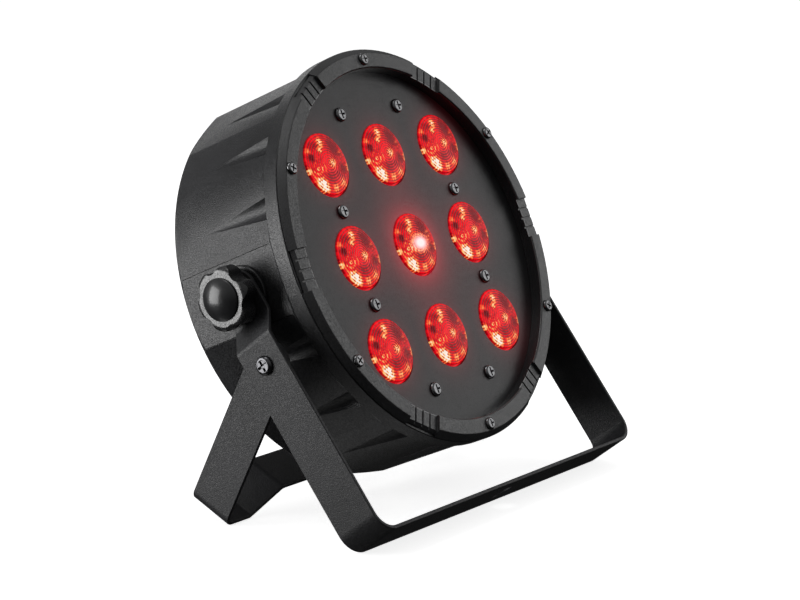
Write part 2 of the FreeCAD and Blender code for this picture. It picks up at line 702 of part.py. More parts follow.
def knob_cap():
    """Domed cover over the stud's head."""
    return turned([(0, KNOB_FRONT_X - 1.0), (CAP_R - 1.6, KNOB_FRONT_X - 1.0),
                   (CAP_R - 1.6, KNOB_FRONT_X), (CAP_R, KNOB_FRONT_X), (CAP_R, KNOB_FRONT_X + 0.8),
                   dome_step(CAP_R, KNOB_FRONT_X + 0.8, CAP_APEX_X)])


def knob_stud():
    """Threaded stud moulded into the grip."""
    return turned([(0, STUD_INNER_X), (STUD_R - 0.8, STUD_INNER_X), (STUD_R, STUD_INNER_X + 0.8),
                   (STUD_R, KNOB_FRONT_X - 2.0), (6.4, KNOB_FRONT_X - 2.0),
                   (6.4, KNOB_FRONT_X - 1.1), (0, KNOB_FRONT_X - 1.1)])


def pivot_insert():
    """Brass insert in the drum's side, tapped for the stud."""
    return tube(INSERT_R, STUD_R + RUNNING_CLEARANCE, INSERT_INNER_X, PAD_X)


def friction_disc():
    rim = 0.5
    disc_shape = turned([(0, PAD_X), (DISC_R, PAD_X), (DISC_R, DISC_X - rim),
                         (DISC_R - rim, DISC_X), (0, DISC_X)])
    return disc_shape.cut(disc(STUD_R + 0.3, PAD_X - 1, DISC_X + 1))


def pivot_spacer():
    return tube(SPACER_R, STUD_R + 0.3, DISC_X, SPACER_X)


# ---- brackets, built with Y up the arm and Z across the flat bar
def unit(start, end):
    """Direction from one point of a path to the next."""
    length = math.hypot(end[0] - start[0], end[1] - start[1])
    return ((end[0] - start[0]) / length, (end[1] - start[1]) / length)


def strip_side(points, radii, offset):
    """Edges of a path moved to its left by an offset, with its corners rounded."""
    edges = []
    last = len(points) - 1
    first_way = unit(points[0], points[1])
    here = Vector(points[0][0] - first_way[1] * offset, points[0][1] + first_way[0] * offset, 0)
    for i in range(1, last):
        before = unit(points[i - 1], points[i])
        after = unit(points[i], points[i + 1])
        turn = before[0] * after[1] - before[1] * after[0]
        half = 0.5 * math.atan2(turn, before[0] * after[0] + before[1] * after[1])
        normal = Vector(-before[1] - after[1], before[0] + after[0], 0).normalize()
        corner = Vector(*points[i], 0) + normal * (offset / math.cos(half))
        radius = radii[i - 1] - math.copysign(offset, turn)
        setback = radius * math.tan(abs(half))
        start = corner - Vector(*before, 0) * setback
        end = corner + Vector(*after, 0) * setback
        middle = corner + normal * (math.copysign(radius, turn) * (1 / math.cos(half) - 1))
        edges.append(Part.LineSegment(here, start).toShape())
        edges.append(Part.Arc(start, middle, end).toShape())
        here = end
    last_way = unit(points[-2], points[-1])
    finish = Vector(points[-1][0] - last_way[1] * offset, points[-1][1] + last_way[0] * offset, 0)
    edges.append(Part.LineSegment(here, finish).toShape())
    return edges


def bent_strip(half_path, half_radii, width):
    """A flat bar bent along a path that is mirrored about x = 0; the path is its outer face."""
    points = half_path + [(-x, y) for x, y in reversed(half_path)]
    radii = half_radii + list(reversed(half_radii))
    outer = strip_side(points, radii, 0.0)
    inner = strip_side(points, radii, STRIP)
    ends = [Part.LineSegment(a.Vertexes[k].Point, b.Vertexes[k].Point).toShape()
            for a, b, k in ((outer[0], inner[0], 0), (outer[-1], inner[-1], 1))]
    loop = Part.Wire(Part.__sortEdges__(outer + inner + ends))
    strip = Part.Face(loop).extrude(Vector(0, 0, width))
    strip.translate(Vector(0, 0, -width / 2))
    return strip


def rounded_end(strip, radius, reach):
    """Rounds both arm ends about the pivot at y = 0."""
    for side in (1, -1):
        corner = block((0, reach), (0, radius + 2), (-radius - 2, radius + 2))
        corner = corner.cut(Part.makeCylinder(radius, reach, ORIGIN, X_AXIS))
        corner.rotate(ORIGIN, Y_AXIS, 0 if side > 0 else 180)
        strip = strip.cut(corner)
    return strip


def soften(shape, half_width):
    """Small chamfers along the long straight and bent rims of a flat bar."""
    rims = []
    for edge in shape.Edges:
        z = [v.Z for v in edge.Vertexes]
        flat = abs(z[0] - z[-1]) < 1e-6 and abs(abs(z[0]) - half_width) < 1e-6
        if flat and edge.Length > 3:
            rims.append(edge)
    return shape.makeChamfer(RIM_CHAMFER, rims)


def front_bracket():
    """Main bracket: two cranked arms and a bottom bar with the clamp hole."""
    top, bottom = JOGGLE
    half = FRONT_WIDTH / 2
    path = [(-FRONT_TOP_X, half), (-FRONT_TOP_X, -top), (-FRONT_OUTER_X, -bottom),
            (-FRONT_OUTER_X, -FRONT_REACH)]
    strip = bent_strip(path, [4.0, 4.0, FRONT_BEND], FRONT_WIDTH)
    strip = soften(strip, half)
    strip = rounded_end(strip, half, FRONT_OUTER_X + 5)
    clamp = Part.makeCylinder(CLAMP_HOLE_R, 10, Vector(0, -FRONT_REACH - 4, 0), Y_AXIS)
    cuts = [clamp]
    for side in (1, -1):
        cuts.append(outwards(disc(STUD_R + RUNNING_CLEARANCE, 100, 120), side))
        hole = outwards(disc(BRACKET_SCREW_R + RUNNING_CLEARANCE, 100, 120), side)
        cuts.append(moved(hole, y=-BRACKET_SCREW_AT))
    return strip.cut(cuts)


def rear_bracket():
    """Second bracket: arms, flat feet, raised shoulders, and a middle that clears the drum."""
    foot = -REAR_REACH
    half = REAR_WIDTH / 2
    path = [(-REAR_OUTER_X, half), (-REAR_OUTER_X, foot), (-FOOT_INNER_X, foot),
            (-SHOULDER_X, foot + SHOULDER_RAISE), (-DIP_X[0], foot + SHOULDER_RAISE),
            (-DIP_X[1], foot + DIP_RAISE)]
    strip = bent_strip(path, [REAR_BEND, 4.0, 4.0, 4.0, 4.0], REAR_WIDTH)
    strip = soften(strip, half)
    strip = rounded_end(strip, half, REAR_OUTER_X + 5)
    holes = [outwards(disc(BRACKET_SCREW_R + RUNNING_CLEARANCE, 100, 120), side)
             for side in (1, -1)]
    return strip.cut(holes)


def bracket_screw():
    """Screw through both brackets, head outside the front arm."""
    screw = pan_screw(BRACKET_SCREW_HEAD_R, 2.0, BRACKET_SCREW_R, FRONT_OUTER_X - 105.6)
    return moved(screw, z=FRONT_OUTER_X)


def bracket_washer(z0, z1):
    return tube(5.0, BRACKET_SCREW_R + 0.1, z0, z1)


def bracket_nut():
    """Thin hexagon nut inside the rear bracket's arm."""
    top = REAR_OUTER_X - STRIP - 0.5
    across = 8.0
    corners = [Vector(across / math.sqrt(3) * math.cos(math.radians(60 * i)),
                      across / math.sqrt(3) * math.sin(math.radians(60 * i)), top - 3.0)
               for i in range(7)]
    nut = Part.Face(Part.makePolygon(corners)).extrude(Vector(0, 0, 3.0))
    return nut.cut(disc(BRACKET_SCREW_R, top - 4, top + 1))


# ---- placing and writing
def in_head(shape):
    """From the head's frame to the row frame."""
    copy = shape.copy()
    copy.rotate(ORIGIN, X_AXIS, 90 - HEAD_TILT)
    copy.translate(PIVOT)
    return copy


def on_front_arm(shape):
    """From the front bracket's frame to the row frame."""
    copy = shape.copy()
    copy.rotate(ORIGIN, X_AXIS, 90 - FRONT_LEAN)
    copy.translate(PIVOT)
    return copy


def bracket_screw_point():
    along = Vector(0, -math.sin(FRONT_LEAN_RAD), -math.cos(FRONT_LEAN_RAD))
    return PIVOT + along * BRACKET_SCREW_AT


def on_rear_arm(shape):
    """From the rear bracket's frame to the row frame."""
    copy = shape.copy()
    copy.rotate(ORIGIN, X_AXIS, 90 + REAR_LEAN)
    copy.translate(bracket_screw_point())
    return copy


def group(shapes):
    """Separate solids of one node."""
    solids = [solid for shape in shapes for solid in shape.Solids]
    return Part.makeCompound(solids)


def write(name, shape):
    problems = "" if shape.isValid() else "  INVALID"
    print(f"{name}: {len(shape.Solids)} solids, {shape.Volume / 1000:.2f} cm3{problems}")
    shape.exportStep(f"parts/{name}.step")


def write_head(name, shapes):
    shapes = shapes if isinstance(shapes, list) else [shapes]
    write(name, in_head(group(shapes)))


def write_brackets():
    write("front_bracket", on_front_arm(group([front_bracket()])))
    write("rear_bracket", on_rear_arm(group([rear_bracket()])))
    sides = (1, -1)
    screws = [moved(outwards(bracket_screw(), s), y=-BRACKET_SCREW_AT) for s in sides]
    write("bracket_pivot_screws", on_front_arm(group(screws)))
    nuts = [moved(outwards(bracket_nut(), s), y=-BRACKET_SCREW_AT) for s in sides]
    write("bracket_pivot_nuts", on_front_arm(group(nuts)))
    inner_z = REAR_OUTER_X - STRIP
    gaps = ((REAR_OUTER_X + 0.15, FRONT_OUTER_X - STRIP), (inner_z - 0.5, inner_z - 0.15))
    washers = [moved(outwards(bracket_washer(*gap), s), y=-BRACKET_SCREW_AT)
               for s in sides for gap in gaps]
    write("bracket_pivot_washers", on_front_arm(group(washers)))


def write_optics():
    write_head("drum_housing", drum_housing())
    write_head("front_ring", front_ring())
    screw = moved(pan_screw(3.2, 1.4, 1.4, 14.0), RING_SCREW_R, 0, RING_FRONT)
    write_head("ring_screws", ring_of(screw, ring_screw_angles()))
    write_head("face_plate", face_plate())
    screw = pan_screw(3.7, 1.6, FACE_SCREW_R - 0.05, 10.0)
    places = face_screw_places()
    write_head("face_plate_screws", [moved(screw, x, y, FACE_FRONT) for x, y in places])
    write_head("face_plate_posts", [moved(face_post(), x, y) for x, y in places])
    gasket_back = LEDGE_FRONT
    write_head("face_gasket", tube(FACE_R, LEDGE_R + 0.4, gasket_back, FACE_FRONT - FACE_THICK))
    one_lens = lens()
    for name, x, y in lens_places():
        write_head(name, moved(one_lens, x, y))
    write_head("lens_holders", [moved(lens_holder(), x, y) for _, x, y in lens_places()])
    write_head("led_emitters", [moved(emitter(), x, y) for _, x, y in lens_places()])
    write_head("led_board", led_board())
    write_head("heat_sink", heat_sink())
    screw = moved(pan_screw(3.5, 2.2, 1.9, 11.0), LUG_SCREW_R, 0, BOARD_FRONT - BOARD_THICK)
    write_head("heat_sink_screws", ring_of(screw, LUG_ANGLES))


def write_rear():
    write_head("rear_cover", rear_cover())
    screw = pan_screw(3.0, 1.9, 1.2, 5.0)
    screw.rotate(ORIGIN, X_AXIS, 180)
    screw = moved(screw, COVER_SCREW_R, 0, COVER_BACK)
    write_head("rear_cover_screws", ring_of(screw, cover_screw_angles()))
    write_head("display_window", display_window())
    write_head("display_module", display_module())
    write_head("control_board", control_board())
    write_head("power_board", power_board())
    posts = control_post_places() + power_post_places()
    write_head("board_posts", [moved(board_post(), x, y) for x, y in posts])
    screw = moved(pan_screw(2.6, 1.6, 1.25, 4.0), z=REAR_BOARD_BACK + REAR_BOARD_THICK)
    write_head("board_screws", [moved(screw, x, y) for x, y in posts])
    front = REAR_BOARD_BACK + REAR_BOARD_THICK
    write_head("mains_transformer", centred_block(0, -8.0, 20.0, 22.0, (front, front + 15.0)))
    cans = [disc(5.0, front, front + 16.0, x, y) for x, y in ((-8.0, -24.5), (8.0, 9.5))]
    write_head("smoothing_capacitors", cans)
    for name, x in zip(BUTTON_NAMES, BUTTON_X):
        write_head(f"button_{name}", moved(button_cap(), x, BUTTON_Y))
    write_head("button_switches", [moved(button_switch(), x, BUTTON_Y) for x in BUTTON_X])
    write_head("power_inlet", power_inlet())
    write_head("power_inlet_pins", inlet_pins())
    write_head("fuse_drawer", fuse_drawer())
    write_head("fuse", fuse())
    write_head("power_outlet", power_outlet())
    write_head("dmx_input", dmx_input())
    write_head("dmx_input_pins", dmx_input_pins())
    write_head("dmx_output", dmx_output())
    write_head("output_latch", output_latch())
    write_head("safety_eye", safety_eye())


def write_pivots():
    sides = (1, -1)
    write_head("pivot_inserts", [outwards(pivot_insert(), s) for s in sides])
    write_head("friction_discs", [outwards(friction_disc(), s) for s in sides])
    write_head("pivot_spacers", [outwards(pivot_spacer(), s) for s in sides])
    for name, side in (("right", 1), ("left", -1)):
        write_head(f"knob_grip_{name}", outwards(knob_grip(), side))
        write_head(f"knob_cap_{name}", outwards(knob_cap(), side))
        write_head(f"knob_stud_{name}", outwards(knob_stud(), side))


os.makedirs("parts", exist_ok=True)
write_brackets()
write_optics()
write_rear()
write_pivots()
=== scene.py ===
"""Looks of the par can light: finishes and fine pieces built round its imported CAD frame, in metres."""
import json
import math

import bmesh
import bpy
from mathutils import Matrix, Vector


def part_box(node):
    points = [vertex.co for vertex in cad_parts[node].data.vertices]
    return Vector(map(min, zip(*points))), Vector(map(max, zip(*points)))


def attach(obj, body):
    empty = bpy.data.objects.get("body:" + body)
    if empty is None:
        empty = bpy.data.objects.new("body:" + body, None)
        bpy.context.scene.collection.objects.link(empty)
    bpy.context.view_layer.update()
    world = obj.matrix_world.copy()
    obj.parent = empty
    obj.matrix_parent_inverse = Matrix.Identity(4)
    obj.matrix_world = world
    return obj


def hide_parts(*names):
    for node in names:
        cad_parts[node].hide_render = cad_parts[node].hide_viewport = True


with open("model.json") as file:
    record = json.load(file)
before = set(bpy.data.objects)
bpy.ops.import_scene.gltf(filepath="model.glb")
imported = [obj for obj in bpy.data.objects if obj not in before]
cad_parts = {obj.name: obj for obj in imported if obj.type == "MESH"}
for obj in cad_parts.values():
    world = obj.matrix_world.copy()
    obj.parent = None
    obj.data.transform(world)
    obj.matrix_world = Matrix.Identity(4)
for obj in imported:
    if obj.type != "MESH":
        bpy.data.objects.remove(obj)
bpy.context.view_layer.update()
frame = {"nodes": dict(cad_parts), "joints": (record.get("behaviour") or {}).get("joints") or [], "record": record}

MM = 0.001
NODES = frame["nodes"]
BODY_OF = {node: body for body, nodes in frame["record"]["behaviour"]["bodies"].items()
           for node in nodes}
SLOT_OF = {row["node"]: row["material_slot"] for row in frame["record"]["subparts"]}
JOINTS = {joint["name"]: joint for joint in frame["joints"]}

# The head's own frame: x across, y up the face, z along the beam, from the tilt axis.
PIVOT = Vector(JOINTS["head_tilt"]["pos_m"])
BEAM = Vector(JOINTS["button_menu_press"]["axis"])
ACROSS = Vector((1, 0, 0))
UP_FACE = BEAM.cross(ACROSS)
HEAD = Matrix((ACROSS, UP_FACE, BEAM)).transposed().to_4x4()
HEAD.translation = PIVOT


# ---- shader trees
class Finish:
    """One material's node tree, with short calls for the nodes it needs."""

    def __init__(self, name):
        self.material = bpy.data.materials.new(name)
        self.material.use_nodes = True
        self.tree = self.material.node_tree
        self.tree.nodes.clear()
        self.output = self.tree.nodes.new("ShaderNodeOutputMaterial")
        self.shader = self.tree.nodes.new("ShaderNodeBsdfPrincipled")
        self.tree.links.new(self.shader.outputs[0], self.output.inputs["Surface"])
        self.place = self.add("TexCoord").outputs["Object"]

    @classmethod
    def of(cls, material):
        """Opens a finish that is already made."""
        finish = cls.__new__(cls)
        finish.material = material
        finish.tree = material.node_tree
        finish.shader = next(n for n in finish.tree.nodes if n.type == "BSDF_PRINCIPLED")
        finish.place = finish.add("TexCoord").outputs["Object"]
        return finish

    def set(self, node, inputs):
        """Links the sockets among the inputs and writes the plain values."""
        for key, value in inputs.items():
            if isinstance(value, bpy.types.NodeSocket):
                self.tree.links.new(value, node.inputs[key])
            else:
                node.inputs[key].default_value = value

    def add(self, kind, inputs=None, **settings):
        node = self.tree.nodes.new("ShaderNode" + kind)
        for key, value in settings.items():
            setattr(node, key, value)
        self.set(node, inputs or {})
        return node

    def surface(self, **inputs):
        """Sets the surface shader's inputs, named with underscores for spaces."""
        self.set(self.shader, {key.replace("_", " "): value for key, value in inputs.items()})

    def calc(self, operation, a, b=0.0):
        return self.add("Math", {0: a, 1: b}, operation=operation).outputs[0]

    def noise(self, scale, detail=3.0, place=None, roughness=0.55):
        node = self.add("TexNoise", {"Vector": place or self.place, "Scale": scale,
                                     "Detail": detail, "Roughness": roughness})
        return node.outputs["Fac"]

    def spread(self, value, low, high, to_low=0.0, to_high=1.0):
        """Maps low..high to to_low..to_high and holds it there."""
        node = self.add("MapRange", {"Value": value, "From Min": low, "From Max": high,
                                     "To Min": to_low, "To Max": to_high}, clamp=True)
        return node.outputs["Result"]

    def blend(self, share, first, second):
        """Mixes two colours; a share of one gives the second."""
        return self.add("Mix", {"Factor": share, 6: first, 7: second}, data_type="RGBA").outputs[2]

    def bump(self, height, depth, strength):
        inputs = {"Height": height, "Distance": depth, "Strength": strength}
        return self.add("Bump", inputs).outputs["Normal"]


def grey(value, tint=(1.0, 1.0, 1.0)):
    return (value * tint[0], value * tint[1], value * tint[2], 1.0)


# ---- sizes and shares that the finishes use; lengths on the head are in millimetres
COOL = (0.97, 0.98, 1.06)
WHITE = (1, 1, 1, 1)
LENS_PITCH = 48.15
LENS_R = 16.0
RING_WALL_OUTER_R = 92.9
RING_WALL_INNER_R = 92.7
RING_WALL_ROUGHNESS = 0.12
RING_WALL_COAT = 0.8
SPILL_FALL = -0.22
SPILL_GLOW = 0.05
HOT_SPILL_FALL = -0.12
HOT_SPILL_GLOW = 0.22
CLOUD_SCALE = 26.0
CLOUD_SHARE = 0.45
SPECK_SHARE = 0.55
SPECK_LOW = 0.38
SPECK_HIGH = 0.62


def textured_coat(name, dark, light, roughness, grain=2200.0, depth=0.00006, tint=COOL,
                  specular=0.5, strength=0.8):
    """Black moulded or powder-coated skin: pebbled grain, fine speckle and cloudy wear."""
    finish = Finish(name)
    cloud = finish.noise(CLOUD_SCALE, 4.0)
    speck = finish.noise(grain * 0.8, 2.0)
    pebble = finish.add("TexVoronoi", {"Vector": finish.place, "Scale": grain},
                        feature="SMOOTH_F1").outputs["Distance"]
    share = finish.calc("ADD", finish.calc("MULTIPLY", cloud, CLOUD_SHARE),
                        finish.calc("MULTIPLY", speck, SPECK_SHARE))
    colour = finish.blend(finish.spread(share, SPECK_LOW, SPECK_HIGH), grey(dark, tint),
                          grey(light, tint))
    shine = finish.spread(speck, SPECK_LOW, SPECK_HIGH, roughness - 0.12, roughness + 0.14)
    height = finish.calc("ADD", pebble, finish.calc("MULTIPLY", speck, 0.6))
    finish.surface(Base_Color=colour, Roughness=shine, Specular_IOR_Level=specular,
                   Normal=finish.bump(height, depth, strength))
    return finish.material


def smooth_gloss(name, value, roughness, tint=COOL):
    """Polished black moulding with faint flow marks."""
    finish = Finish(name)
    flow = finish.noise(90.0, 5.0)
    finish.surface(Base_Color=finish.blend(flow, grey(value * 0.8, tint), grey(value * 1.25, tint)),
                   Roughness=finish.spread(flow, 0.3, 0.7, roughness * 0.8, roughness * 1.25),
                   Normal=finish.bump(finish.noise(900.0, 2.0), 0.00002, 0.25))
    finish.surface(Coat_Weight=0.35, Coat_Roughness=0.12)
    return finish.material


def worked_metal(name, colour, roughness, stretch=(1.0, 1.0, 14.0), scale=900.0):
    """Bare or plated metal with drawn marks and uneven polish."""
    finish = Finish(name)
    marks = finish.add("Mapping", {"Vector": finish.place, "Scale": stretch}).outputs[0]
    drawn = finish.noise(scale, 3.0, marks)
    cloud = finish.noise(140.0, 4.0)
    low = [c * 0.72 for c in colour] + [1.0]
    high = [min(1.0, c * 1.12) for c in colour] + [1.0]
    shade = finish.calc("ADD", finish.calc("MULTIPLY", drawn, 0.5),
                        finish.calc("MULTIPLY", cloud, 0.5))
    finish.surface(Base_Color=finish.blend(finish.spread(shade, 0.35, 0.65), low, high),
                   Roughness=finish.spread(drawn, 0.3, 0.7, roughness * 0.75, roughness * 1.3),
                   Normal=finish.bump(drawn, 0.00002, 0.4))
    finish.surface(Metallic=1.0)
    return finish.material


def head_place(finish, shift=(0, 0, 0)):
    """Head coordinates: x, y and z sockets in millimetres, then the vector in metres."""
    where = HEAD @ (Vector(shift) * MM)
    local = finish.add("Mapping", {"Vector": finish.place, "Location": where,
                                   "Rotation": HEAD.to_euler()}, vector_type="TEXTURE").outputs[0]
    split = finish.add("SeparateXYZ", {0: local})
    return [finish.calc("MULTIPLY", split.outputs[i], 1.0 / MM) for i in range(3)] + [local]


def length_of(finish, a, b):
    """Distance from two offsets at right angles."""
    return finish.calc("SQRT", finish.calc("ADD", finish.calc("MULTIPLY", a, a),
                                           finish.calc("MULTIPLY", b, b)))


def ring_coat(name):
    """Grained black ring with a polished inner wall."""
    material = textured_coat(name, 0.008, 0.035, 0.46, 1900.0, 0.00009, specular=0.85)
    finish = Finish.of(material)
    x, y, _, _ = head_place(finish)
    wall = finish.spread(length_of(finish, x, y), RING_WALL_OUTER_R, RING_WALL_INNER_R)
    grained = finish.shader.inputs["Roughness"].links[0].from_socket
    rough = finish.add("Mix", {"Factor": wall, 2: grained, 3: RING_WALL_ROUGHNESS}).outputs[0]
    finish.surface(Roughness=rough, Coat_Weight=finish.calc("MULTIPLY", wall, RING_WALL_COAT))
    return material


def face_coat(name):
    """Satin face plate with a faint red glow painted round each lens, as if it caught light spilled from them."""
    material = textured_coat(name, 0.012, 0.022, 0.4, 3000.0, 0.00002, specular=0.4,
                             strength=0.3)
    finish = Finish.of(material)
    x, y, _, _ = head_place(finish)
    nearest = []  # offsets from the middle of the nearest lens
    for value in (x, y):
        step = finish.calc("DIVIDE", value, LENS_PITCH)
        step = finish.calc("MINIMUM", finish.calc("MAXIMUM", step, -1.0), 1.0)
        step = finish.calc("MULTIPLY", finish.calc("ROUND", step), LENS_PITCH)
        nearest.append(finish.calc("SUBTRACT", value, step))
    around = finish.calc("SUBTRACT", length_of(finish, *nearest), LENS_R)
    # painted red glow: emission that fades away from each lens rim, and fades more slowly round the middle lens
    spill = finish.calc("EXPONENT", finish.calc("MULTIPLY", around, SPILL_FALL))
    middle = finish.calc("SUBTRACT", length_of(finish, x, y), LENS_R)
    hot = finish.calc("EXPONENT", finish.calc("MULTIPLY", middle, HOT_SPILL_FALL))
    glow = finish.calc("ADD", finish.calc("MULTIPLY", spill, SPILL_GLOW),
                       finish.calc("MULTIPLY", hot, HOT_SPILL_GLOW))
    finish.surface(Emission_Color=(1.0, 0.03, 0.06, 1), Emission_Strength=glow)
    return material


def circuit_board(name, mask, copper, pitch):
    """Solder mask over traces, with tinned pads in a grid."""
    finish = Finish(name)
    bricks = finish.add("TexBrick", {"Vector": finish.place, "Color1": mask, "Color2": mask,
                                     "Mortar": copper, "Scale": 1.0, "Mortar Size": pitch * 0.12,
                                     "Brick Width": pitch * 2.0, "Row Height": pitch})
    pads = finish.add("TexVoronoi", {"Vector": finish.place, "Scale": 1.0 / (pitch * 2.0),
                                     "Randomness": 0.35}).outputs["Distance"]
    tin = finish.spread(pads, 0.16, 0.12)
    colour = finish.blend(tin, bricks.outputs["Color"], (0.75, 0.76, 0.78, 1.0))
    finish.surface(Base_Color=colour, Roughness=finish.spread(tin, 0.0, 1.0, 0.38, 0.25),
                   Metallic=finish.calc("MULTIPLY", tin, 0.9),
                   Normal=finish.bump(bricks.outputs["Fac"], 0.00005, 0.6))
    return finish.material


def wrapped(name, colour, second, roughness, pitch):
    """Tape or shrink sleeve with overlapping turns."""
    finish = Finish(name)
    turns = finish.add("TexWave", {"Vector": finish.place, "Scale": 1.0 / pitch,
                                   "Distortion": 0.6, "Detail": 1.0}).outputs["Fac"]
    finish.surface(Base_Color=finish.blend(turns, colour, second), Roughness=roughness,
                   Normal=finish.bump(turns, 0.0001, 0.5))
    return finish.material


def smoked_window(name):
    """Dark red filter window in front of the display."""
    finish = Finish(name)
    haze = finish.noise(300.0, 3.0)
    finish.surface(Base_Color=finish.blend(haze, (0.02, 0.002, 0.002, 1), (0.05, 0.006, 0.006, 1)),
                   Roughness=finish.spread(haze, 0.3, 0.7, 0.05, 0.12))
    finish.surface(Coat_Weight=0.6, Coat_Roughness=0.04)
    return finish.material


def fuse_glass(name):
    """Clear tube with a faint smear."""
    finish = Finish(name)
    smear = finish.noise(200.0, 3.0)
    finish.surface(Base_Color=finish.blend(smear, (0.8, 0.85, 0.85, 1), (0.93, 0.95, 0.95, 1)),
                   Roughness=finish.spread(smear, 0.3, 0.7, 0.03, 0.12))
    finish.surface(Transmission_Weight=0.8, IOR=1.5)
    return finish.material


FINISHES = {
    "bracket_paint": lambda n: textured_coat(n, 0.01, 0.03, 0.5, 1900.0, 0.00009, specular=0.38),
    "housing_black": lambda n: textured_coat(n, 0.008, 0.026, 0.42, 1900.0, 0.00009),
    "ring_black": ring_coat,
    "face_black": face_coat,
    "cover_black": lambda n: textured_coat(n, 0.02, 0.04, 0.48, 1700.0, 0.00005, specular=0.85),
    "holder_black": lambda n: textured_coat(n, 0.012, 0.022, 0.5, 2600.0, 0.00004),
    "rubber_black": lambda n: textured_coat(n, 0.01, 0.016, 0.32, 3200.0, 0.00002, specular=0.4),
    "nylon_black": lambda n: textured_coat(n, 0.012, 0.02, 0.35, 2600.0, 0.00002),
    "knob_plastic": lambda n: textured_coat(n, 0.008, 0.014, 0.3, 2600.0, 0.00001, specular=0.9),
    "cap_gloss": lambda n: smooth_gloss(n, 0.014, 0.32),
    "button_grey": lambda n: textured_coat(n, 0.1, 0.16, 0.4, 2600.0, 0.00003),
    "socket_black": lambda n: textured_coat(n, 0.012, 0.02, 0.34, 2600.0, 0.00003),
    "display_black": lambda n: textured_coat(n, 0.01, 0.018, 0.5, 2600.0, 0.00003),
    "screw_dark": lambda n: worked_metal(n, (0.2, 0.2, 0.205), 0.16, (1, 1, 1)),
    "screw_bright": lambda n: worked_metal(n, (0.11, 0.11, 0.115), 0.24, (1, 1, 1)),
    "zinc_steel": lambda n: worked_metal(n, (0.62, 0.62, 0.6), 0.3),
    "socket_metal": lambda n: worked_metal(n, (0.7, 0.69, 0.66), 0.22),
    "brass": lambda n: worked_metal(n, (0.72, 0.52, 0.22), 0.28),
    "sink_aluminium": lambda n: worked_metal(n, (0.78, 0.79, 0.8), 0.38, (16.0, 1.0, 1.0)),
    "board_white": lambda n: circuit_board(n, (0.75, 0.75, 0.72, 1), (0.66, 0.66, 0.64, 1), 0.006),
    "board_green": lambda n: circuit_board(n, (0.02, 0.14, 0.05, 1), (0.06, 0.25, 0.08, 1), 0.002),
    "emitter_yellow": lambda n: smooth_gloss(n, 0.6, 0.15, (1.0, 0.72, 0.12)),
    "transformer_tape": lambda n: wrapped(n, (0.55, 0.42, 0.05, 1), (0.7, 0.55, 0.1, 1), 0.4, 0.01),
    "capacitor_sleeve": lambda n: wrapped(n, (0.02, 0.03, 0.1, 1), (0.04, 0.05, 0.16, 1), 0.25, 0.02),
    "window_smoke": smoked_window,
    "fuse_glass": fuse_glass,
}
MATERIALS = {slot_name: make(slot_name) for slot_name, make in FINISHES.items()}


# ---- meshes; lengths in metres, angles in degrees
WELD = 1e-6
FLAT_ANGLE = 0.6
BEVEL_ANGLE = 38.0
BEVEL_STEPS = 2
SMOOTH_ANGLE = 34.0
SHARP_ANGLE = {"drum_housing": 15.0}


def piece_from(name, form, node, finish):
    """Turns a finished bmesh into an object that stands for a CAD node."""
    mesh = bpy.data.meshes.new(name)
    form.to_mesh(mesh)
    form.free()
    piece = bpy.data.objects.new(name, mesh)
    bpy.context.scene.collection.objects.link(piece)
    mesh.materials.append(finish)
    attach(piece, BODY_OF[node])
    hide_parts(node)
    return piece


def shade(piece, angle):
    """Smooth shading that breaks at real edges, with normals weighted by face size."""
    piece.data.shade_smooth()
    piece.data.set_sharp_from_angle(angle=math.radians(angle))
    weighted = piece.modifiers.new("even", "WEIGHTED_NORMAL")
    weighted.keep_sharp = True
    return piece


def softened(node, width):
    """The CAD shape with its triangles joined and its sharp edges rounded off a little."""
    form = bmesh.new()
    form.from_mesh(NODES[node].data)
    bmesh.ops.remove_doubles(form, verts=form.verts, dist=WELD)
    bmesh.ops.dissolve_limit(form, angle_limit=math.radians(FLAT_ANGLE), verts=form.verts,
                             edges=form.edges)
    sharp = [edge for edge in form.edges
             if len(edge.link_faces) == 2 and edge.calc_face_angle() > math.radians(BEVEL_ANGLE)]
    bmesh.ops.bevel(form, geom=sharp, offset=width, offset_type="OFFSET", affect="EDGES",
                    segments=BEVEL_STEPS, profile=0.5, material=-1, clamp_overlap=True)
    piece = piece_from(f"{node}_skin", form, node, MATERIALS[SLOT_OF[node]])
    return shade(piece, SHARP_ANGLE.get(node, SMOOTH_ANGLE))


# ---- lenses; heights along the beam from the tilt axis, in millimetres
LENS_FOOT = 29.6
LENS_RIM = 32.4
LENS_CROWN = 34.4
LENS_BEVEL = 0.3
LENS_STEPS = 88
LENS_SHARP_ANGLE = 50.0
POINTS_PER_RIB = 6
RIB_PITCH = 1.36
RIB_HEIGHT = 0.13
# flange, cone and emitter pocket, as radius and height
LENS_BACK = ((17.3, 29.6), (17.3, 27.4), (14.6, 27.4), (5.6, 16.4), (3.4, 16.4), (2.6, 20.2),
             (0.0, 21.0))


def lens_profile():
    """Half section of a lens in its own frame: ribbed dome, side, flange, cone and LED pocket."""
    edge = LENS_R - LENS_BEVEL
    height = LENS_CROWN - LENS_RIM
    radius = (edge ** 2 + height ** 2) / (2 * height)
    steps = int(edge / RIB_PITCH * POINTS_PER_RIB)
    points = []
    for i in range(steps + 1):
        r = edge * i / steps
        z = LENS_CROWN - radius + math.sqrt(radius ** 2 - r ** 2)
        wave = 0.5 - 0.5 * math.cos(2 * math.pi * r / RIB_PITCH)
        points.append((r, z - RIB_HEIGHT * wave))
    points += [(LENS_R, LENS_RIM - LENS_BEVEL), (LENS_R, LENS_FOOT)]
    return points + list(LENS_BACK)


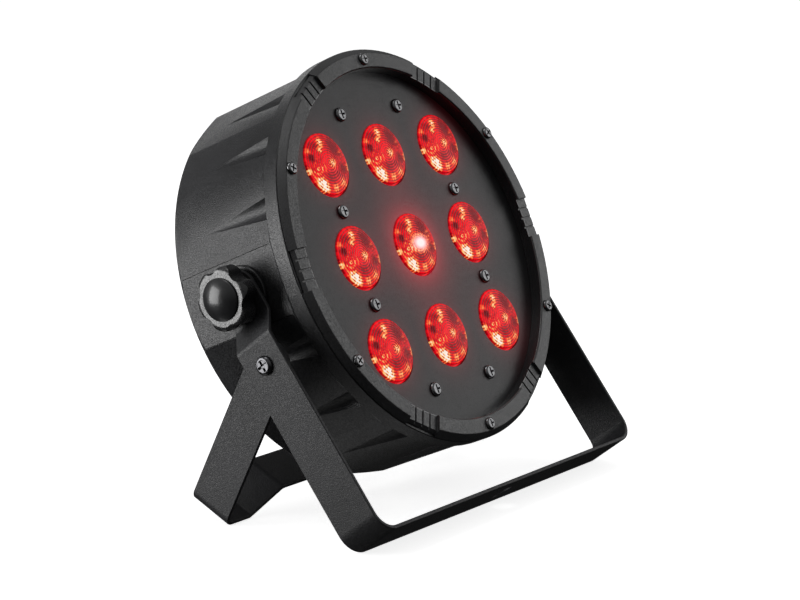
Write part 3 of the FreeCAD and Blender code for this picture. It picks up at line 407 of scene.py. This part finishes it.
def lens_piece(node, centre, finish):
    """Spins the half section into a lens and sets it in its place on the head."""
    form = bmesh.new()
    verts = [form.verts.new((r * MM, 0, z * MM)) for r, z in lens_profile()]
    edges = [form.edges.new(pair) for pair in zip(verts, verts[1:])]
    bmesh.ops.spin(form, geom=verts + edges, cent=(0, 0, 0), axis=(0, 0, 1),
                   angle=2 * math.pi, steps=LENS_STEPS, use_merge=True)
    bmesh.ops.remove_doubles(form, verts=form.verts, dist=WELD)
    bmesh.ops.recalc_face_normals(form, faces=form.faces)
    bmesh.ops.transform(form, matrix=HEAD @ Matrix.Translation(centre), verts=form.verts)
    piece = piece_from(node.replace("lens", "ribbed_lens"), form, node, finish)
    return shade(piece, LENS_SHARP_ANGLE)


GLOW_SPOTS = (
    # x, y, spread, strength: bright patches where the emitters are seen through the ribs
    (-9.3, -9.6, 3.0, 2.2),
    (-6.6, -11.8, 2.4, 1.4),
    (2.4, -0.4, 2.7, 1.2),
    (-0.9, 11.2, 2.4, 1.3),
    (-3.6, 7.4, 2.0, 1.0),
    (7.4, -10.5, 3.2, 0.9),
    (0.5, -12.8, 2.6, 0.9),
    (15.6, -3.4, 2.2, 1.2),
    (-15.8, -2.5, 2.2, 1.2),
    (12.0, 4.0, 2.6, 0.5),
    (-12.0, 8.0, 2.2, 0.6),
)
SHADE_SPOTS = (
    # x, y, spread, strength: darker patches between them
    (7.7, 7.6, 4.6, 0.85),
    (9.6, -3.8, 3.4, 0.7),
    (-11.0, 4.2, 1.8, 1.3),
    (-2.0, -7.0, 3.2, 0.55),
    (-7.0, 9.5, 2.6, 0.5),
    (4.0, -6.0, 2.4, 0.4),
)
SWIRL = (-9.2, -1.8)
SWIRL_PITCH = 2.3
SWIRL_REACH = 5.2
HOT_LENS = "lens_middle_centre"
HOT_SPOT = (1.6, -0.4)
HOT_SQUEEZE = 0.62
HOT_STRENGTH = 1.6
LENS_DARK_RED = (0.1, 0.0, 0.003, 1)
LENS_RED = (1.0, 0.006, 0.014, 1)
GLINT_ORANGE = (1.0, 0.14, 0.03, 1)
GLINT_YELLOW = (1.0, 0.62, 0.22, 1)
GLINT_WHITE = (1.0, 0.93, 0.85, 1)
HOT_PINK = (1.0, 0.25, 0.28, 1)
HOT_CORE = (1.0, 0.93, 0.93, 1)


def lens_finish(name, centre, hot=0.0):
    """Red lens lit from behind: ribbed rings cut into facets, with glints and hot patches."""
    finish = Finish(name)
    x, y, _, local = head_place(finish, centre / MM)
    radius = length_of(finish, x, y)
    angle = finish.calc("ARCTAN2", y, x)

    def distance(cx, cy, squeeze=1.0):
        dx = finish.calc("MULTIPLY", finish.calc("SUBTRACT", x, cx), squeeze)
        return length_of(finish, dx, finish.calc("SUBTRACT", y, cy))

    def spot(cx, cy, spread, strength, squeeze=1.0):
        """A soft round patch that fades with the square of the distance."""
        reach = finish.calc("DIVIDE", distance(cx, cy, squeeze), spread)
        square = finish.calc("MULTIPLY", reach, reach)
        fall = finish.calc("EXPONENT", finish.calc("MULTIPLY", square, -1.0))
        return finish.calc("MULTIPLY", fall, strength)

    def total(spots):
        value = 0.0
        for row in spots:
            value = finish.calc("ADD", spot(*row), value)
        return value

    ring = finish.calc("FLOOR", finish.calc("DIVIDE", radius, RIB_PITCH))
    around = finish.calc("MULTIPLY", angle, finish.calc("ADD", finish.calc("MULTIPLY", ring, 1.3),
                                                       3.0))
    cell = finish.add("CombineXYZ", {0: ring, 1: finish.calc("FLOOR", around), 2: 0.37})
    facet = finish.add("TexWhiteNoise", {"Vector": cell.outputs[0]},
                       noise_dimensions="3D").outputs["Value"]
    wave = finish.calc("SINE", finish.calc("MULTIPLY", radius, 2 * math.pi / RIB_PITCH))
    rib = finish.spread(wave, -0.9, 0.9)
    turn = finish.calc("SINE", finish.calc("MULTIPLY", distance(*SWIRL),
                                           2 * math.pi / SWIRL_PITCH))
    swirl = finish.calc("MULTIPLY", finish.spread(turn, -0.6, 0.9),
                        spot(*SWIRL, SWIRL_REACH, 1.0))
    depth = finish.noise(170.0, 3.0, local)
    swirl = finish.calc("MULTIPLY", swirl, finish.spread(depth, 0.4, 0.6, 0.1, 1.0))
    level = finish.calc("ADD", finish.calc("MULTIPLY", facet, 0.38),
                        finish.calc("MULTIPLY", rib, 0.62))
    level = finish.calc("ADD", level, finish.spread(depth, 0.3, 0.7, 0.0, 0.4))
    level = finish.calc("ADD", level, finish.calc("MULTIPLY", swirl, 0.3))
    level = finish.calc("SUBTRACT", level, total(SHADE_SPOTS))
    red = finish.blend(finish.spread(level, 0.1, 1.05), LENS_DARK_RED, LENS_RED)
    glow = finish.calc("ADD", total(GLOW_SPOTS), finish.calc("MULTIPLY", swirl, 1.3))
    if hot:
        glow = finish.calc("ADD", glow, spot(*HOT_SPOT, 4.6, hot, HOT_SQUEEZE))
    glint = finish.calc("MULTIPLY", glow, finish.calc("ADD", finish.calc("MULTIPLY", facet, 0.9),
                                                      finish.calc("MULTIPLY", rib, 0.6)))
    orange = finish.blend(finish.spread(glint, 0.25, 0.6), red, GLINT_ORANGE)
    yellow = finish.blend(finish.spread(glint, 0.55, 0.95), orange, GLINT_YELLOW)
    white = finish.blend(finish.spread(glint, 1.1, 1.6), yellow, GLINT_WHITE)
    if hot:
        halo = finish.spread(spot(*HOT_SPOT, 5.0, 1.0, HOT_SQUEEZE), 0.3, 0.85)
        pink = finish.blend(halo, white, HOT_PINK)
        core = finish.spread(spot(*HOT_SPOT, 3.4, 1.0, HOT_SQUEEZE), 0.35, 0.8)
        white = finish.blend(core, pink, HOT_CORE)
    finish.surface(Base_Color=(0.2, 0.001, 0.002, 1), Emission_Color=white,
                   Roughness=finish.spread(facet, 0.0, 1.0, 0.12, 0.26),
                   Normal=finish.bump(finish.calc("ADD", facet, rib), 0.00006, 0.7))
    finish.surface(Emission_Strength=0.92, Specular_IOR_Level=0.14)
    return finish.material


def lens_centre(node):
    """Middle of a lens in the head's frame, from its CAD box."""
    low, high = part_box(node)
    middle = HEAD.inverted() @ ((low + high) / 2)
    return Vector((middle.x, middle.y, 0))


def build_lenses():
    for node in sorted(NODES):
        if node.startswith("lens_") and node != "lens_holders":
            centre = lens_centre(node)
            hot = HOT_STRENGTH if node == HOT_LENS else 0.0
            lens_piece(node, centre, lens_finish(f"red_{node}", centre, hot))


# ---- pieces that only need rounded edges: width of the rounding, in millimetres
EDGE_SOFTNESS = {
    "front_bracket": 0.25, "rear_bracket": 0.25, "drum_housing": 0.35, "front_ring": 0.22,
    "face_plate": 0.3, "rear_cover": 0.2, "knob_grip_left": 1.1, "knob_grip_right": 1.1,
    "knob_cap_left": 0.25, "knob_cap_right": 0.25, "friction_discs": 0.2, "pivot_spacers": 0.2,
    "bracket_pivot_screws": 0.16, "ring_screws": 0.12, "face_plate_screws": 0.14,
    "rear_cover_screws": 0.12, "power_inlet": 0.3, "power_outlet": 0.3, "dmx_input": 0.25,
    "dmx_output": 0.25, "fuse_drawer": 0.2, "output_latch": 0.25, "safety_eye": 0.15,
    "bracket_pivot_nuts": 0.25, "power_inlet_pins": 0.3, "dmx_input_pins": 0.3,
    "button_menu": 0.25, "button_down": 0.25, "button_up": 0.25, "button_enter": 0.25,
    "display_window": 0.1,
}


def build_skins():
    for node, width in EDGE_SOFTNESS.items():
        softened(node, width * MM)


def dress_bare_nodes():
    """CAD nodes that show as they are, with no new piece over them, take their slot's finish."""
    for node, piece in NODES.items():
        if not piece.hide_render:
            piece.data.materials.clear()
            piece.data.materials.append(MATERIALS[SLOT_OF[node]])


# ---- studio
VIEW_AZIMUTH = math.radians(-54.63)
VIEW_ELEVATION = math.radians(11.24)
VIEW_ROLL = math.radians(0.47)
VIEW_DISTANCE = 1.2628
VIEW_HEIGHT = 0.0878
VIEW_PAN = (0.0162, 0.0075)
VIEW_FOCAL = 110.7
VIEW_SENSOR = 36.0
VIEW_CLIP = 50.0
AIM_HEIGHT = 0.11
WORLD_FROM = -0.1
WORLD_TO = 0.7
WORLD_LOW = 0.02
WORLD_HIGH = 0.3
FLOOR_SIZE = 30.0
FLOOR_GLOW = 0.8


def make_camera():
    back = Vector((math.sin(VIEW_AZIMUTH) * math.cos(VIEW_ELEVATION),
                   -math.cos(VIEW_AZIMUTH) * math.cos(VIEW_ELEVATION), math.sin(VIEW_ELEVATION)))
    right = (-back).cross(Vector((0, 0, 1))).normalized()
    up = right.cross(-back)
    level = math.cos(VIEW_ROLL) * right + math.sin(VIEW_ROLL) * up
    upright = math.cos(VIEW_ROLL) * up - math.sin(VIEW_ROLL) * right
    camera = bpy.data.objects.new("camera", bpy.data.cameras.new("camera"))
    bpy.context.scene.collection.objects.link(camera)
    camera.data.lens = VIEW_FOCAL
    camera.data.sensor_width = VIEW_SENSOR
    camera.data.clip_end = VIEW_CLIP
    turn = Matrix((level, upright, back)).transposed().to_4x4()
    turn.translation = (Vector((0, PIVOT.y, VIEW_HEIGHT)) + back * VIEW_DISTANCE
                        + level * VIEW_PAN[0] + upright * VIEW_PAN[1])
    camera.matrix_world = turn
    bpy.context.scene.camera = camera


def area_light(name, place, aim, size, power):
    light = bpy.data.lights.new(name, "AREA")
    light.shape = "RECTANGLE"
    light.size, light.size_y = size
    light.energy = power
    lamp = bpy.data.objects.new(name, light)
    bpy.context.scene.collection.objects.link(lamp)
    lamp.location = place
    lamp.rotation_euler = (aim - place).to_track_quat("-Z", "Y").to_euler()
    lamp.visible_camera = False


def panel(name, azimuth, elevation, distance, size, brightness):
    """Softbox facing the lamp head; azimuth from the back, clockwise seen from above."""
    turn = math.radians(azimuth)
    lift = math.radians(elevation)
    middle = Vector((0, 0, AIM_HEIGHT))
    place = middle + distance * Vector((math.sin(turn) * math.cos(lift),
                                        math.cos(turn) * math.cos(lift), math.sin(lift)))
    area_light(name, place, middle, size, brightness * math.pi * size[0] * size[1])


def make_lights():
    # name, azimuth, elevation, distance, size, brightness
    panel("left_back", -48.0, 2.0, 1.3, (0.85, 0.9), 5.6)
    panel("right_back", 36.0, 24.0, 1.4, (0.5, 0.6), 1.2)
    panel("front_right", 122.0, 14.0, 1.5, (1.2, 0.9), 1.45)
    panel("top", -60.0, 74.0, 1.3, (0.5, 0.8), 2.2)
    panel("under_back", 0.0, -68.0, 1.5, (1.3, 0.7), 0.5)


def make_world():
    """White surroundings, dim below and brighter towards the top."""
    world = bpy.data.worlds.new("studio")
    bpy.context.scene.world = world
    world.use_nodes = True
    tree = world.node_tree
    place = tree.nodes.new("ShaderNodeTexCoord").outputs["Generated"]
    split = tree.nodes.new("ShaderNodeSeparateXYZ")
    tree.links.new(place, split.inputs[0])
    ramp = tree.nodes.new("ShaderNodeMapRange")
    ramp.inputs["From Min"].default_value = WORLD_FROM
    ramp.inputs["From Max"].default_value = WORLD_TO
    ramp.inputs["To Min"].default_value = WORLD_LOW
    ramp.inputs["To Max"].default_value = WORLD_HIGH
    tree.links.new(split.outputs[2], ramp.inputs["Value"])
    tree.links.new(ramp.outputs[0], tree.nodes["Background"].inputs["Strength"])
    tree.nodes["Background"].inputs["Color"].default_value = WHITE


def make_floor():
    """Pale glowing floor that lights nothing and is not seen in reflections."""
    form = bmesh.new()
    bmesh.ops.create_grid(form, x_segments=1, y_segments=1, size=FLOOR_SIZE)
    mesh = bpy.data.meshes.new("floor")
    form.to_mesh(mesh)
    form.free()
    floor = bpy.data.objects.new("floor", mesh)
    bpy.context.scene.collection.objects.link(floor)
    finish = Finish("pale_floor")
    finish.surface(Base_Color=finish.blend(finish.noise(3.0), grey(0.93), grey(0.95)),
                   Roughness=0.9, Emission_Color=WHITE, Specular_IOR_Level=0.1)
    finish.surface(Emission_Strength=FLOOR_GLOW)
    mesh.materials.append(finish.material)
    floor.visible_diffuse = False
    floor.visible_glossy = False
    floor.visible_shadow = False


bpy.context.scene.view_settings.view_transform = "Standard"
make_camera()
make_world()
make_lights()
make_floor()
build_skins()
build_lenses()
dress_bare_nodes()
